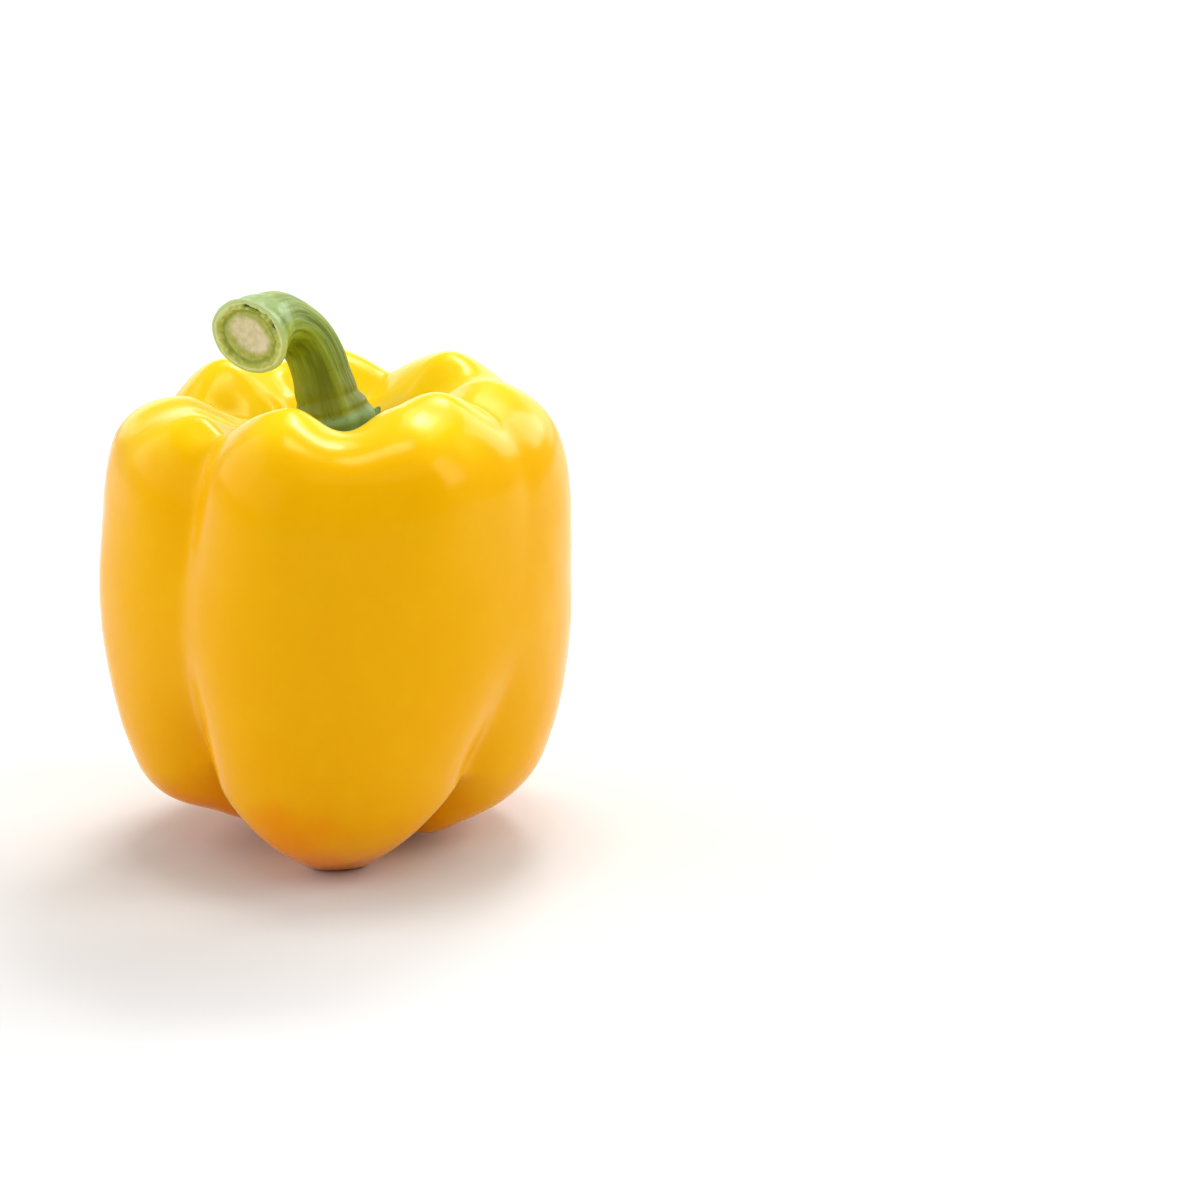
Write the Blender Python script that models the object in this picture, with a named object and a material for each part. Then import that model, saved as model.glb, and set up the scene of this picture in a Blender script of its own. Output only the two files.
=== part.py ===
"""A whole yellow bell pepper standing on its lobes: the fruit, its green calyx and the cut stem.

Metres, +Z up. The origin is on the ground, at the middle of the footprint.
Azimuths are in degrees, from the front (-Y) round towards the right (+X).
"""

import math
from collections import namedtuple

import bmesh
import bpy
import numpy as np

# Driving dimensions
BARREL_RADIUS = 0.0428
BARREL_HEIGHT = 0.0897
SINK = 0.0012
GAP = 0.0005

# The plain barrel's meridian, as (share of the radius, share of the height):
# from the stem's seat, up over the shoulder, down the wall and in to the blossom scar.
MERIDIAN = (
    (0.00, 0.847),
    (0.15, 0.849),
    (0.28, 0.867),
    (0.42, 0.931),
    (0.58, 0.985),
    (0.72, 0.985),
    (0.88, 0.920),
    (0.975, 0.811),
    (1.00, 0.642),
    (1.00, 0.443),
    (0.955, 0.264),
    (0.828, 0.118),
    (0.615, 0.036),
    (0.43, 0.005),
    (0.24, 0.040),
    (0.00, 0.065),
)

# Shares of the meridian's length where the lobing is set: on the shoulder's crest, the shoulder, the
# waist, the lower wall and the foot. It fades out towards the stem's seat and the blossom scar.
STATIONS = (0.20, 0.32, 0.50, 0.70, 0.85)
FADE_START = 0.06
FADE_END = 0.985

# Which way the lobing stands out, in degrees above level: up on the seat, out on the wall, down below.
LEAN_SHARES = (0.12, 0.36, 0.58, 0.95)
LEAN_ANGLES = (90, 0, 0, -90)

# How sharp a crease is at each station, how narrow, and the share of its reach that rounds its bottom.
CREASE_SHARPNESS = (0.85, 0.85, 0.95, 0.90, 0.95)
CREASE_FALL = (2.0, 2.1, 2.2, 2.6, 4.4)
CREASE_ROUNDING = 0.12
CREASE_CROWDING = 0.5

# Valleys between the humps: azimuths and depths at the stations. A soft one is a plain dip, no crease.
Groove = namedtuple("Groove", "reach soft azimuths depths")
GROOVES = (
    Groove(43, False, (-43, -39, -41, -46, -36), (0.0072, 0.0084, 0.0054, 0.0110, 0.0210)),
    Groove(21, True, (9, 9, 9, 9, 9), (0.0050, 0.0015, 0.0000, 0.0000, 0.0003)),
    Groove(38, False, (66, 61, 56, 50, 41), (0.0050, 0.0016, 0.0008, 0.0065, 0.0220)),
    Groove(24, True, (110, 110, 110, 110, 110), (0.0035, 0.0015, 0.0000, 0.0000, 0.0000)),
    Groove(40, False, (160, 160, 162, 165, 167), (0.0065, 0.0070, 0.0065, 0.0085, 0.0130)),
    Groove(28, True, (208, 208, 208, 208, 208), (0.0045, 0.0015, 0.0000, 0.0000, 0.0000)),
    Groove(38, False, (255, 250, 248, 249, 251), (0.0085, 0.0072, 0.0055, 0.0085, 0.0130)),
    Groove(24, True, (282, 282, 282, 282, 282), (0.0038, 0.0022, 0.0000, 0.0000, 0.0000)),
)

# How far each hump stands out beyond the plain barrel at the stations.
Hump = namedtuple("Hump", "azimuth heights")
HUMPS = (
    Hump(-12, (0.0000, 0.0034, 0.0014, 0.0012, 0.0006)),
    Hump(26, (-0.0015, 0.0036, 0.0014, 0.0003, 0.0006)),
    Hump(50, (0.0023, 0.0015, 0.0006, 0.0000, -0.0010)),
    Hump(90, (0.0000, 0.0020, 0.0012, 0.0000, -0.0050)),
    Hump(135, (0.0018, 0.0010, 0.0010, 0.0010, 0.0005)),
    Hump(180, (0.0013, 0.0010, 0.0005, 0.0010, -0.0027)),
    Hump(230, (0.0012, 0.0016, 0.0010, 0.0010, 0.0004)),
    Hump(264, (0.0007, 0.0028, 0.0012, -0.0006, -0.0045)),
    Hump(300, (-0.0018, -0.0006, 0.0000, 0.0000, -0.0056)),
)

# The calyx: a crinkled collar lying in the seat, with a dish in its middle for the stem's foot.
CALYX_RADIUS = 0.0121
CALYX_THICKNESS = 0.0012
CALYX_POINTS = 10
POINT_LENGTH = 0.0014
POINT_CURL = 0.0007
POINT_UNEVENNESS = 0.35
DISH_RADIUS = 0.0086
DISH_LEVEL = 0.0771
COLLAR_RADIUS = 0.0096
COLLAR_HEIGHT = 0.0009
COLLAR_WIDTH = 0.0010
RIM_ROUNDING = 0.3

# The stem's centre line, and (distance along it as a share, radius): foot, shaft, flared cut end.
STEM_PATH = (
    (0.0006, 0.0000, 0.0775),
    (0.0003, 0.0000, 0.0795),
    (-0.0004, 0.0000, 0.0826),
    (-0.0014, 0.0002, 0.0866),
    (-0.0026, 0.0003, 0.0906),
    (-0.0042, -0.0002, 0.0940),
    (-0.0063, -0.0020, 0.0968),
    (-0.0088, -0.0056, 0.0986),
    (-0.0111, -0.0101, 0.0986),
    (-0.0132, -0.0146, 0.0973),
)
STEM_RADII = (
    (0.00, 0.0072),
    (0.04, 0.0076),
    (0.10, 0.0068),
    (0.17, 0.0057),
    (0.30, 0.0052),
    (0.60, 0.0051),
    (0.80, 0.0056),
    (0.92, 0.0066),
    (1.00, 0.0076),
)
FOOT_LOBES = 5
FOOT_LOBE_DEPTH = 0.0006
FOOT_TURN = 0.6
FOOT_END = 0.22
RIBS = 10
RIB_DEPTH = 0.00012
CAP_ROWS = 4


def smoothstep(x):
    x = np.clip(x, 0.0, 1.0)
    return x * x * (3 - 2 * x)


def smooth_join(x, places, values):
    """The values set at the places, joined by smooth steps."""
    places = np.asarray(places, float)
    values = np.asarray(values, float)
    i = np.clip(np.searchsorted(places, x, side="right") - 1, 0, len(places) - 2)
    part_way = (x - places[i]) / (places[i + 1] - places[i])
    return values[i] + (values[i + 1] - values[i]) * smoothstep(part_way)


def smooth_curve(points, per_span=40):
    """A Catmull-Rom curve through the points, as a dense array."""
    p = np.asarray(points, float)
    p = np.vstack([2 * p[0] - p[1], p, 2 * p[-1] - p[-2]])
    u = np.linspace(0, 1, per_span, endpoint=False)[:, None]
    spans = []
    for a, b, c, d in zip(p, p[1:], p[2:], p[3:]):
        square = (2 * a - 5 * b + 4 * c - d) * u**2
        cube = (3 * b - a - 3 * c + d) * u**3
        spans.append((2 * b + (c - a) * u + square + cube) / 2)
    return np.vstack(spans + [p[-2:-1]])


def length_shares(curve):
    """How far along the curve each of its points is, from 0 to 1."""
    steps = np.linalg.norm(np.diff(curve, axis=0), axis=1)
    return np.concatenate([[0.0], np.cumsum(steps)]) / steps.sum()


def groove_cut(azimuth, share, groove):
    """1 along a groove's bottom, falling away on both sides almost to 0 at its reach."""
    middle = smooth_join(share, STATIONS, groove.azimuths)
    off = np.abs((azimuth - middle + 180) % 360 - 180) / groove.reach
    off = np.minimum(off, 1)
    if groove.soft:
        return np.cos(off * np.pi / 2) ** 2
    sharpness = smooth_join(share, STATIONS, CREASE_SHARPNESS)
    fall = smooth_join(share, STATIONS, CREASE_FALL)
    off = np.sqrt(off**2 + CREASE_ROUNDING**2) - CREASE_ROUNDING
    return (1 - off**sharpness) ** fall


def relief(azimuth, share):
    """How far the fruit's skin stands outside the plain barrel, in metres."""
    places = [hump.azimuth for hump in HUMPS]
    places = [places[-1] - 360, *places, places[0] + 360]
    turned = (azimuth - places[1]) % 360 + places[1]
    height = 0
    for k, hump in enumerate(HUMPS):
        near = np.zeros(len(places))
        near[k + 1] = 1
        near[0] = near[-2]
        near[-1] = near[1]
        near = smooth_join(turned, places, near)
        height = height + near * smooth_join(share, STATIONS, hump.heights)
    for groove in GROOVES:
        depth = smooth_join(share, STATIONS, groove.depths)
        height = height - depth * groove_cut(azimuth, share, groove)
    fade_in = smoothstep((share - FADE_START) / (STATIONS[0] - FADE_START))
    fade_out = smoothstep((FADE_END - share) / (FADE_END - STATIONS[-1]))
    return height * fade_in * fade_out


def fruit_section(azimuth, share):
    """Distance from the axis and height of the skin. The three lowest lobes are cut flat by the ground."""
    barrel = smooth_curve(MERIDIAN) * (BARREL_RADIUS, BARREL_HEIGHT)
    length = length_shares(barrel)
    out = relief(azimuth, share)
    lean = np.radians(smooth_join(share, LEAN_SHARES, LEAN_ANGLES))
    radius = np.interp(share, length, barrel[:, 0]) + out * np.cos(lean)
    height = np.interp(share, length, barrel[:, 1]) + out * np.sin(lean) - SINK
    return np.maximum(radius, 0.0), np.maximum(height, 0.0)


def on_azimuth(azimuth, radius, height):
    """Points at those azimuths, radii and heights."""
    turn = np.radians(azimuth)
    return np.stack([radius * np.sin(turn), -radius * np.cos(turn), height], axis=-1)


def crowded_azimuths(per_hump, share):
    """Azimuths of the fruit's mesh lines: one in every crease, and closer together near it."""
    creases = [smooth_join(share, STATIONS, groove.azimuths) for groove in GROOVES]
    ends = creases[1:] + [creases[0] + 360]
    step = np.arange(per_hump) / per_hump
    step = step - CREASE_CROWDING * np.sin(2 * np.pi * step) / (2 * np.pi)
    return np.hstack([a + (b - a) * step for a, b in zip(creases, ends)])


def fruit_points(per_hump, rows):
    """The skin as an array of points, [row from seat to scar, column round the fruit]."""
    share = np.linspace(0, 1, rows)[:, None]
    azimuth = crowded_azimuths(per_hump, share)
    radius, height = fruit_section(azimuth, share)
    return on_azimuth(azimuth, radius, height)


def seat_height(azimuth, radius):
    """Height of the fruit's skin round the stem's seat, one azimuth to a column of the radii."""
    share = np.linspace(0, STATIONS[0], 200)
    height = np.empty_like(radius)
    for column, turn in enumerate(azimuth):
        reach, level = fruit_section(turn, share)
        height[:, column] = np.interp(radius[:, column], reach, level)
    return height


def calyx_points(per_point, rows):
    """The calyx, [row from its top's middle out to the rim and back below, column round it]."""
    azimuth = np.arange(CALYX_POINTS * per_point) * 360 / (CALYX_POINTS * per_point)
    wave = 1 - np.abs(np.sin(np.radians(azimuth * CALYX_POINTS / 2)))
    uneven = 1 + POINT_UNEVENNESS * np.sin(np.radians(azimuth * 3 + 40))
    reach = CALYX_RADIUS + POINT_LENGTH * wave * uneven
    turn = np.linspace(0, np.pi, rows)[:, None]
    outward = np.sin(turn) ** 0.8
    radius = outward * reach
    below = seat_height(azimuth, radius) + GAP + POINT_CURL * wave * outward**6
    collar = COLLAR_HEIGHT * np.exp(-(((radius - COLLAR_RADIUS) / COLLAR_WIDTH) ** 2))
    above = below + CALYX_THICKNESS + collar
    above += (DISH_LEVEL - above) * (1 - smoothstep((radius - DISH_RADIUS) / COLLAR_WIDTH))
    height = below + (above - below) * smoothstep(np.cos(turn) / RIM_ROUNDING)
    return on_azimuth(np.broadcast_to(azimuth, radius.shape), radius, height)


def shaped_sphere(name, points):
    """A closed object: a UV sphere primitive whose rows and columns move to the points given."""
    rows, columns = points.shape[:2]
    mesh = bpy.data.meshes.new(name)
    ball = bmesh.new()
    bmesh.ops.create_uvsphere(ball, u_segments=columns, v_segments=rows - 1, radius=1)
    for vertex in ball.verts:
        x, y, z = vertex.co
        row = round(math.acos(max(-1.0, min(1.0, z))) / math.pi * (rows - 1))
        column = round(math.atan2(x, -y) / (2 * math.pi) * columns) % columns
        vertex.co = points[row, column]
    ball.to_mesh(mesh)
    ball.free()
    mesh.shade_smooth()
    return bpy.data.objects.new(name, mesh)


def stem_rings(rows, columns):
    """The stem, [row from the cut end's middle out and down to the foot's middle, column round it]."""
    path = smooth_curve(STEM_PATH)
    share = length_shares(path)
    tangent = np.gradient(path, share, axis=0)
    tangent /= np.linalg.norm(tangent, axis=1)[:, None]
    tangent[0] = (0.0, 0.0, 1.0)
    side = np.array([1.0, 0.0, 0.0])
    sides = []
    for direction in tangent:
        side = side - direction * side.dot(direction)
        side = side / np.linalg.norm(side)
        sides.append(side)
    sides = np.array(sides)
    across = np.cross(tangent, sides)
    cap = np.arange(CAP_ROWS) / CAP_ROWS
    shaft_rows = rows - 2 * CAP_ROWS
    at = np.concatenate([cap * 0 + 1, np.linspace(1, 0, shaft_rows), cap * 0])
    spread = np.concatenate([cap, np.ones(shaft_rows), cap[::-1]])
    centre = np.stack([np.interp(at, share, path[:, k]) for k in range(3)], axis=-1)
    right = np.stack([np.interp(at, share, sides[:, k]) for k in range(3)], axis=-1)
    back = np.stack([np.interp(at, share, across[:, k]) for k in range(3)], axis=-1)
    turn = np.arange(columns) * 2 * np.pi / columns
    radius = smooth_join(at, *zip(*STEM_RADII))[:, None]
    foot = 1 - smoothstep(at / FOOT_END)[:, None]
    lobes = np.cos(FOOT_LOBES * turn + FOOT_TURN)
    ribs = np.cos(RIBS * turn)
    radius = radius + FOOT_LOBE_DEPTH * foot * lobes + RIB_DEPTH * (1 - foot) * ribs
    radius = (radius * spread[:, None])[:, :, None]
    return (
        centre[:, None]
        + radius * np.cos(turn)[:, None] * right[:, None]
        + radius * np.sin(turn)[:, None] * back[:, None]
    )


def plain_material(name, colour, roughness):
    material = bpy.data.materials.new(name)
    material.use_nodes = True
    shader = material.node_tree.nodes["Principled BSDF"]
    shader.inputs["Base Color"].default_value = (*colour, 1)
    shader.inputs["Roughness"].default_value = roughness
    return material


def main():
    for obj in list(bpy.data.objects):
        bpy.data.objects.remove(obj)
    skin = fruit_points(per_hump=11, rows=56)
    collar = calyx_points(per_point=8, rows=22)
    stalk = stem_rings(rows=48, columns=40)
    pieces = (
        (shaped_sphere("fruit", skin), plain_material("skin", (0.90, 0.52, 0.02), 0.25)),
        (shaped_sphere("calyx", collar), plain_material("calyx", (0.05, 0.13, 0.03), 0.5)),
        (shaped_sphere("stem", stalk), plain_material("stem", (0.20, 0.30, 0.06), 0.5)),
    )
    collection = bpy.data.collections.new("bell_pepper")
    bpy.context.scene.collection.children.link(collection)
    root = bpy.data.objects.new("bell_pepper", None)
    collection.objects.link(root)
    middle = (skin.min(axis=(0, 1)) + skin.max(axis=(0, 1))) / 2
    root.location = (-middle[0], -middle[1], 0)
    for obj, material in pieces:
        obj.data.materials.append(material)
        obj.parent = root
        collection.objects.link(obj)


main()
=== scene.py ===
"""How a whole yellow bell pepper looks: glossy lobed skin, a crinkled green calyx and a cut green stem.

Metres, +Z up. Azimuths are in degrees, from the front (-Y) round towards the right (+X).
"""

import math
from collections import namedtuple

import bpy
import numpy as np
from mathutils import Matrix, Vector, noise


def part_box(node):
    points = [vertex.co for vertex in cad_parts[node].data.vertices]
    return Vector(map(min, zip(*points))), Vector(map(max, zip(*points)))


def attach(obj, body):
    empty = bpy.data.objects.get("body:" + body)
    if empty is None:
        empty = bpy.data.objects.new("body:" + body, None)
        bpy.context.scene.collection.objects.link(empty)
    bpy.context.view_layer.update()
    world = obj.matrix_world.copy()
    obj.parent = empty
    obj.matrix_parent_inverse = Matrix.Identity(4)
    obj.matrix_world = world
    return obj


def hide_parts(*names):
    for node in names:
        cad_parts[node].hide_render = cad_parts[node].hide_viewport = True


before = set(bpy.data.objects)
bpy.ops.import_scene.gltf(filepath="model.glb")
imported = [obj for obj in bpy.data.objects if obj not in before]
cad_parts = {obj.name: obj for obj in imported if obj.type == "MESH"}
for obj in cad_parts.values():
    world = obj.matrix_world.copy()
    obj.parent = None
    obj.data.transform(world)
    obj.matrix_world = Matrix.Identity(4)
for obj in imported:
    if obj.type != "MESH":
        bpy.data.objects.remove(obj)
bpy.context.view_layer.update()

# The fruit: the values that the source of the part is driven by.
BARREL_RADIUS = 0.0428
BARREL_HEIGHT = 0.0897
SINK = 0.0012

# The plain barrel's meridian, as (share of the radius, share of the height).
MERIDIAN = (
    (0.00, 0.847),
    (0.15, 0.849),
    (0.28, 0.867),
    (0.42, 0.931),
    (0.58, 0.985),
    (0.72, 0.985),
    (0.88, 0.920),
    (0.975, 0.811),
    (1.00, 0.642),
    (1.00, 0.443),
    (0.955, 0.264),
    (0.828, 0.118),
    (0.615, 0.036),
    (0.43, 0.005),
    (0.24, 0.040),
    (0.00, 0.065),
)

# Where along the meridian the lobing is set, and where it fades out at the two ends.
STATIONS = (0.20, 0.32, 0.50, 0.70, 0.85)
FADE_START = 0.06
FADE_END = 0.985

# Which way the lobing stands out, in degrees above level: up on the seat, out on the wall, down below.
LEAN_SHARES = (0.12, 0.36, 0.58, 0.95)
LEAN_ANGLES = (90, 0, 0, -90)

CREASE_SHARPNESS = (0.85, 0.85, 0.95, 0.90, 0.95)
CREASE_FALL = (2.0, 2.1, 2.2, 2.6, 4.4)
CREASE_ROUNDING = 0.12
CREASE_CROWDING = 0.5

# Valleys between the humps: azimuths and depths at the stations. A soft one is a plain dip, no crease.
Groove = namedtuple("Groove", "reach soft azimuths depths")
GROOVES = (
    Groove(43, False, (-43, -39, -41, -46, -36), (0.0072, 0.0084, 0.0054, 0.0110, 0.0210)),
    Groove(21, True, (9, 9, 9, 9, 9), (0.0050, 0.0015, 0.0000, 0.0000, 0.0003)),
    Groove(38, False, (66, 61, 56, 50, 41), (0.0050, 0.0016, 0.0008, 0.0065, 0.0220)),
    Groove(24, True, (110, 110, 110, 110, 110), (0.0035, 0.0015, 0.0000, 0.0000, 0.0000)),
    Groove(40, False, (160, 160, 162, 165, 167), (0.0065, 0.0070, 0.0065, 0.0085, 0.0130)),
    Groove(28, True, (208, 208, 208, 208, 208), (0.0045, 0.0015, 0.0000, 0.0000, 0.0000)),
    Groove(38, False, (255, 250, 248, 249, 251), (0.0085, 0.0072, 0.0055, 0.0085, 0.0130)),
    Groove(24, True, (282, 282, 282, 282, 282), (0.0038, 0.0022, 0.0000, 0.0000, 0.0000)),
)

# How far each hump stands out beyond the plain barrel at the stations.
Hump = namedtuple("Hump", "azimuth heights")
HUMPS = (
    Hump(-12, (0.0000, 0.0034, 0.0014, 0.0012, 0.0006)),
    Hump(26, (-0.0015, 0.0036, 0.0014, 0.0003, 0.0006)),
    Hump(50, (0.0023, 0.0015, 0.0006, 0.0000, -0.0010)),
    Hump(90, (0.0000, 0.0020, 0.0012, 0.0000, -0.0050)),
    Hump(135, (0.0018, 0.0010, 0.0010, 0.0010, 0.0005)),
    Hump(180, (0.0013, 0.0010, 0.0005, 0.0010, -0.0027)),
    Hump(230, (0.0012, 0.0016, 0.0010, 0.0010, 0.0004)),
    Hump(264, (0.0007, 0.0028, 0.0012, -0.0006, -0.0045)),
    Hump(300, (-0.0018, -0.0006, 0.0000, 0.0000, -0.0056)),
)

# The fruit's fine surface: mesh, slow unevenness of the skin, and the puckers round the calyx.
# It calms down at the seat's middle, at the scar and in the creases, whose painted shade starts below the
# seat.
FRUIT_PER_HUMP = 34
FRUIT_ROWS = 300
WAVE_HEIGHT = 0.00018
WAVE_SIZE = 0.013
RIPPLE_HEIGHT = 0.00003
RIPPLE_SIZE = 0.0045
PUCKER_COUNT = 26
PUCKER_HEIGHT = 0.00022
PUCKER_SHARE = 0.10
PUCKER_WIDTH = 0.035
PUCKER_WANDER = 3
PUCKER_WANDER_SIZE = 0.006
SEAT_CALM = 0.03
SCAR_CALM = 0.02
CREASE_CALM = 0.4
CREASE_SHADE_START = 0.25
CREASE_SHADE_FADE = 0.15

# The mesh of the fruit in model.glb, whose footprint is centred there, and the steps read of its seat.
SOLID_PER_HUMP = 11
SOLID_ROWS = 56
SEAT_STEPS = 200

# The calyx: a crinkled collar lying in the seat, with a dish in its middle for the stem's foot.
CALYX_GAP = 0.00012
CALYX_RADIUS = 0.0117
CALYX_THICKNESS = 0.0013
CALYX_POINTS = 10
CALYX_PER_POINT = 40
CALYX_ROWS = 120
POINT_LENGTH = 0.0017
POINT_SHARPNESS = 1.4
POINT_CURL = 0.0004
CURL_SHARPNESS = 6
POINT_UNEVENNESS = 0.35
POINT_SWELLS = 3
POINT_SWELL_TURN = 40
RAGGED_HEIGHT = 0.0003
RAGGED_COUNT = 60
LEAF_FULLNESS = 0.8
FOLD_HEIGHT = 0.00049
FOLD_BIAS = 0.6
FOLD_COUNTS = (16, 1.6)
LUMP_HEIGHT = 0.00035
LUMP_COUNTS = (34, 7)
HOLLOW_BY_FOLDS = 0.9
HOLLOW_BY_LUMPS = 0.5
DISH_RADIUS = 0.0086
DISH_LEVEL = 0.0771
COLLAR_RADIUS = 0.0096
COLLAR_HEIGHT = 0.0009
COLLAR_WIDTH = 0.0010
RIM_ROUNDING = 0.55

# The stem's centre line, and (distance along it as a share, radius): foot, shaft, flared cut end.
STEM_PATH = (
    (0.0006, 0.0000, 0.0775),
    (0.0003, 0.0000, 0.0795),
    (-0.0004, 0.0000, 0.0826),
    (-0.0014, 0.0002, 0.0866),
    (-0.0026, 0.0003, 0.0906),
    (-0.0042, -0.0002, 0.0940),
    (-0.0063, -0.0020, 0.0968),
    (-0.0088, -0.0056, 0.0986),
    (-0.0111, -0.0101, 0.0986),
    (-0.0132, -0.0146, 0.0973),
)
STEM_RADII = (
    (0.00, 0.0072),
    (0.04, 0.0076),
    (0.10, 0.0068),
    (0.17, 0.0057),
    (0.30, 0.0052),
    (0.60, 0.0051),
    (0.80, 0.0056),
    (0.92, 0.0066),
    (1.00, 0.0076),
)
CUT_RADIUS = STEM_RADII[-1][1]
STEM_COLUMNS = 252
SHAFT_ROWS = 280
LIP_ROWS = 14
FACE_ROWS = 56
FOOT_ROWS = 6
FOOT_LOBES = 5
FOOT_LOBE_DEPTH = 0.00091
FOOT_TURN = 0.6
FURROW_SHARPNESS = 3
FURROW_MEAN = 0.25
FOOT_END = 0.22
FOOT_ROOM = 0.0003
LIP_ROUNDING = 0.0007
RIDGE_HEIGHT = 0.00035
RIDGE_COUNTS = (11, 1.5)
RIDGE_AT_FOOT = 0.35
STREAK_HEIGHT = 0.00012
STREAK_COUNTS = (44, 4.5)
FLARE_START = 0.78
FLARE_LENGTH = 0.15
FLARE_CALM = 0.7
# How strongly the ridges and streaks paint light and shade into the bark's colour.
RIDGE_IN_COLOUR = 0.7
STREAK_IN_COLOUR = 0.5

# The cut face, in shares of its radius: a sunken middle with a raised ring, and a jagged tear by the lip.
FACE_DEPTH = 0.0006
FACE_EDGE = 0.86
FACE_EDGE_WANDER = 0.05
FACE_EDGE_COUNTS = (9, 2.5)
FACE_SLOPE = 0.14
RING_OUT = 0.55
RING_WIDTH = 0.16
RING_HEIGHT = 0.45
GRAIN_HEIGHT = 0.00010
GRAIN_COUNTS = (50, 16)
GRAIN_START = 0.45
TEAR_TURN = 10
TEAR_REACH = 52
TEAR_DEPTH = 0.0013
TEAR_WIDTH = 0.00040
TEAR_OUT = 0.88
TEAR_JAG = 0.07
TEAR_FADE = 0.35
TEAR_LEAST = 0.25
JAG_COUNT = 22
PIT_COUNT = 18
PIT_PLACE = 3
PIT_BIAS = 0.5
PIT_DEPTH = 0.9

# The skin's colours: up the fruit, as (share of its height, colour), and those laid over them. The ramp up
# the fruit is painted shade and light: orange low down, lemon yellow at the top.
SKIN_COLOURS_WITH_PAINTED_SHADE = (
    (0.00, (0.91, 0.265, 0.000)),
    (0.08, (0.91, 0.310, 0.000)),
    (0.20, (0.92, 0.430, 0.000)),
    (0.60, (0.92, 0.450, 0.000)),
    (0.88, (0.93, 0.470, 0.000)),
    (1.00, (0.94, 0.620, 0.000)),
)
# The seat's colour is partly the paler yellow near the stem and partly painted light on its inner slopes.
SEAT_YELLOW_AND_PAINTED_LIGHT = (0.95, 0.690, 0.008)
# Painted shade: deeper orange down the creases.
CREASE_SHADE_ORANGE = (0.86, 0.240, 0.000)
MOTTLE_YELLOW = (0.96, 0.560, 0.004)
SPECK_YELLOW = (0.96, 0.620, 0.020)
SCAR_BROWN = (0.20, 0.10, 0.03)

# The sizes of the skin's spots, and the depth of its fine relief.
CLOUD_SIZE = 0.022
CLOUD_SHIFT = 0.16
MOTTLE_SIZE = 0.0060
SPECK_SIZE = 0.0021
SCAR_EDGE_SIZE = 0.0015
SCAR_EDGE_SHIFT = 0.004
GLOSS_SIZE = 0.006
PEEL_SIZE = 0.0022
PEEL_DEPTH = 0.000022
PORE_SIZE = 0.0011
PORE_DEPTH = 0.000010

# The calyx's colours: painted light on its folds and painted shade in its hollows, then those laid over
# them, with their spots' sizes.
LEAF_FOLD_LIT = (0.110, 0.200, 0.040)
LEAF_HOLLOW_SHADE = (0.018, 0.056, 0.008)
LEAF_BLOOM = (0.170, 0.280, 0.100)
LEAF_BLOOM_SIZE = 0.0022
LEAF_SHADE = (0.030, 0.080, 0.020)
LEAF_SHADE_SIZE = 0.0011
LEAF_RIM = (0.220, 0.270, 0.080)
# Painted shade in the low ring between the collar and the stem's foot.
LEAF_DITCH_SHADE = (0.015, 0.045, 0.010)
LEAF_SCAB = (0.280, 0.200, 0.120)
LEAF_SCAB_SIZE = 0.0031
LEAF_GRAIN_SIZE = 0.0006
LEAF_GRAIN_DEPTH = 0.00012

# The bark's colours: painted shade in its furrows and painted light on its ridges, then those laid over
# them, with their spots' sizes.
BARK_FURROW_SHADE = (0.135, 0.195, 0.005)
BARK_RIDGE_LIT = (0.270, 0.370, 0.020)
# Painted light on the stem's upper side towards the cut.
BARK_TOP_LIT = (0.300, 0.420, 0.120)
BARK_OLIVE = (0.170, 0.155, 0.002)
BARK_BLOOM = (0.190, 0.330, 0.150)
BARK_BLOOM_SIZE = 0.0012
# Frosted patches, laid only on the upper side towards the cut, so partly painted light.
BARK_FROST_AND_LIGHT = (0.400, 0.550, 0.300)
BARK_FROST_SIZE = 0.0030
BARK_FLECK = (0.080, 0.130, 0.010)
BARK_FLECK_SIZE = 0.0013
BARK_GRAIN_SIZE = 0.0005
BARK_GRAIN_DEPTH = 0.00008
BARK_ROUGHNESS = 0.42
FIBRE_COUNTS = (36.0, 36.0, 16.0)
FIBRE_DEPTH = 0.00004

# The cut end's colours and spots: flesh, the ring inside it, the pith, the pale lip and the torn place, with
# painted shade in its pits.
CUT_DARK = (0.410, 0.460, 0.080)
CUT_LIGHT = (0.560, 0.620, 0.160)
CUT_SIZE = 0.0010
CUT_INSIDE = (0.340, 0.360, 0.090)
CUT_RING = (0.190, 0.250, 0.025)
CUT_RIM = (0.640, 0.740, 0.330)
CUT_ROUGHNESS = 0.6
PITH_DARK = (0.620, 0.560, 0.340)
PITH_LIGHT = (0.740, 0.680, 0.480)
PITH_SIZE = 0.0012
PITH_MIDDLE = 0.06
PITH_HALF_WIDTH = 0.50
PITH_HALF_HEIGHT = 0.66
RAGGED_EDGE_SIZE = 0.0016
RAGGED_EDGE_SHIFT = 0.13
LIP_PALE = (0.600, 0.700, 0.300)
TEAR_SHADE = (0.035, 0.070, 0.012)
FRAY_PALE = (0.620, 0.720, 0.480)
FRAY_SIZE = 0.0009

FLOOR_HALF_SIDE = 6.0
FLOOR_GREY = 0.74
WORLD_STRENGTH = 0.34

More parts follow.
